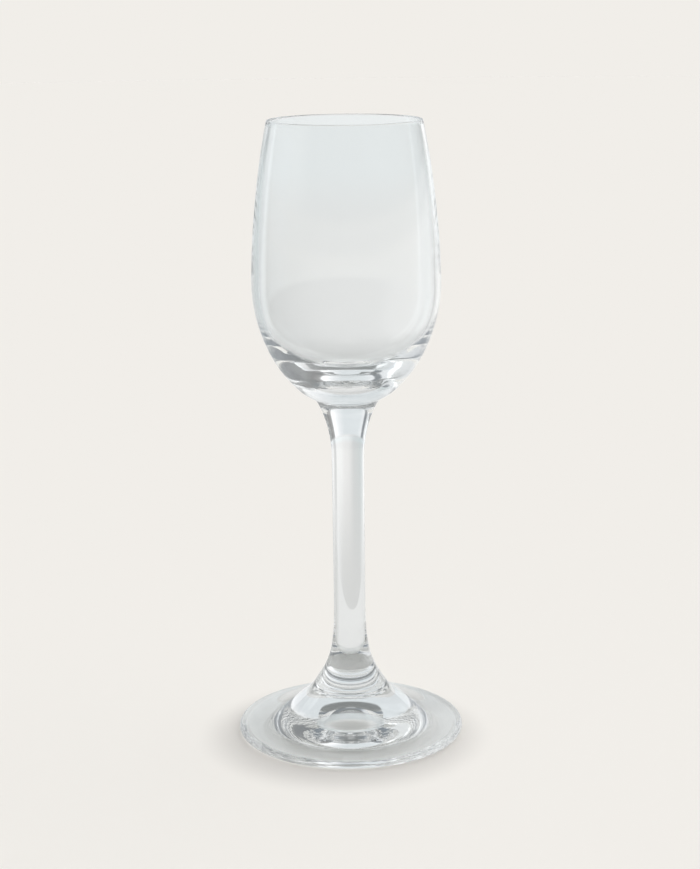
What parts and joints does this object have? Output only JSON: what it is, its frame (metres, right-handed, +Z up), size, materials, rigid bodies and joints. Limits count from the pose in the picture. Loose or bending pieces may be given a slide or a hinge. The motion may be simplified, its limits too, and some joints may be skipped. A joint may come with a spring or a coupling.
{
  "type": "cordial glass",
  "caption": "Clear stemmed cordial glass: a thin-walled tulip bowl with a thick heel on a slim solid stem, flared at both ends, and a round foot with a hollow underside.",
  "frame": {"origin": "middle of the ring that the foot stands on, at table level", "axes": "+Z up along the stem through the middle of the rim; X and Y are interchangeable, because every piece is turned about Z"},
  "size_m": [0.0534, 0.0534, 0.1446],
  "materials": {
    "clear_glass": "fire-polished, clear and colourless"
  },
  "bodies": {
    "root": {"bowl": "clear_glass", "stem": "clear_glass", "foot": "clear_glass"}
  },
  "joints": []
}
